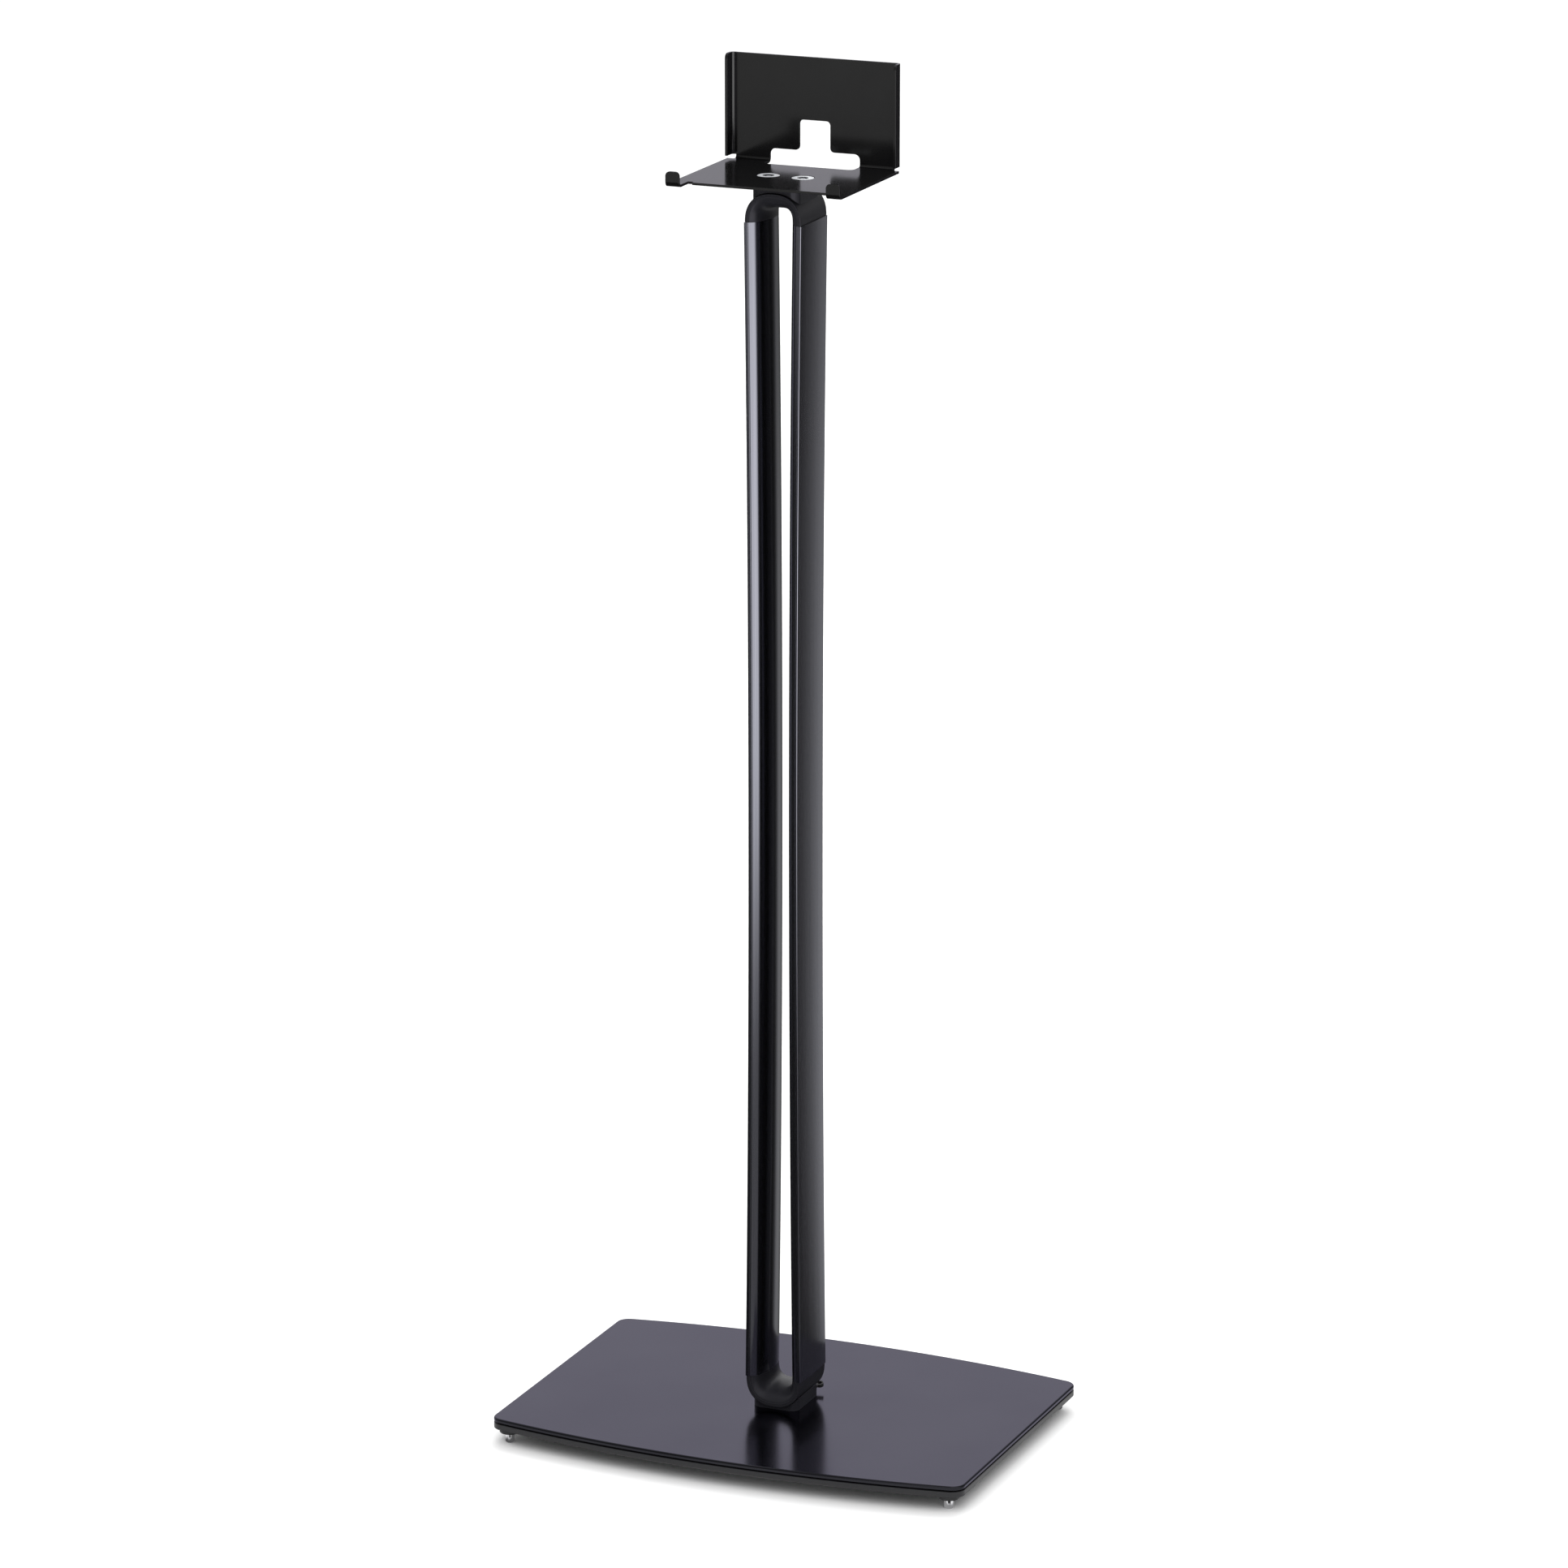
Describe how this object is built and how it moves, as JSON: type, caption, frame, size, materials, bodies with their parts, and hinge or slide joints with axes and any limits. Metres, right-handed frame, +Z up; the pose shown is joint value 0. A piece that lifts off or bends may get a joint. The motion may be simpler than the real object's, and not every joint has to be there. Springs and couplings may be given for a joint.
{
  "type": "speaker stand",
  "caption": "Floor stand for a small loudspeaker: flat weighted base on levelling feet, slim open loop column and a bent sheet bracket on top.",
  "frame": {"origin": "on the floor, centred under the stand's outer box", "axes": "+Z up along the column, the front faces -Y, +X to the right for someone facing the front"},
  "size_m": [0.3, 0.2194, 0.8191],
  "materials": {
    "base_paint": "smooth black powder coat",
    "base_underside": "matt black paint",
    "groove_black": "matt black paint",
    "anodised_profile": "black anodised, satin, drawn lengthways",
    "cap_plastic": "fine matt grain",
    "bracket_coat": "satin black powder coat",
    "foot_chrome": "polished",
    "screw_zinc": "bright zinc",
    "boss_rubber": "matt",
    "ring_plastic": "matt"
  },
  "bodies": {
    "stand": {"base_top_plate": "base_paint", "base_groove_spacer": "groove_black", "base_lower_plate": "base_underside", "foot_boss_front_left": "boss_rubber", "foot_boss_front_right": "boss_rubber", "foot_boss_back_left": "boss_rubber", "foot_boss_back_right": "boss_rubber", "lower_neck": "cap_plastic", "upper_neck": "cap_plastic", "lower_cap": "cap_plastic", "upper_cap": "cap_plastic", "left_profile": "anodised_profile", "right_profile": "anodised_profile", "speaker_bracket": "bracket_coat", "bracket_screw_left": "screw_zinc", "bracket_screw_right": "screw_zinc", "column_bolt_left": "screw_zinc", "column_bolt_right": "screw_zinc", "cable_ring": "ring_plastic"},
    "foot_front_left": {"screw_foot_front_left": "foot_chrome"},
    "foot_front_right": {"screw_foot_front_right": "foot_chrome"},
    "foot_back_left": {"screw_foot_back_left": "foot_chrome"},
    "foot_back_right": {"screw_foot_back_right": "foot_chrome"}
  },
  "joints": [
    {"name": "foot_front_left_travel", "type": "slide", "parent": "stand", "child": "foot_front_left", "axis": [0, 0, -1], "range_m": [0, 0.003]},
    {"name": "foot_front_right_travel", "type": "slide", "parent": "stand", "child": "foot_front_right", "axis": [0, 0, -1], "range_m": [0, 0.003]},
    {"name": "foot_back_left_travel", "type": "slide", "parent": "stand", "child": "foot_back_left", "axis": [0, 0, -1], "range_m": [0, 0.003]},
    {"name": "foot_back_right_travel", "type": "slide", "parent": "stand", "child": "foot_back_right", "axis": [0, 0, -1], "range_m": [0, 0.003]}
  ]
}
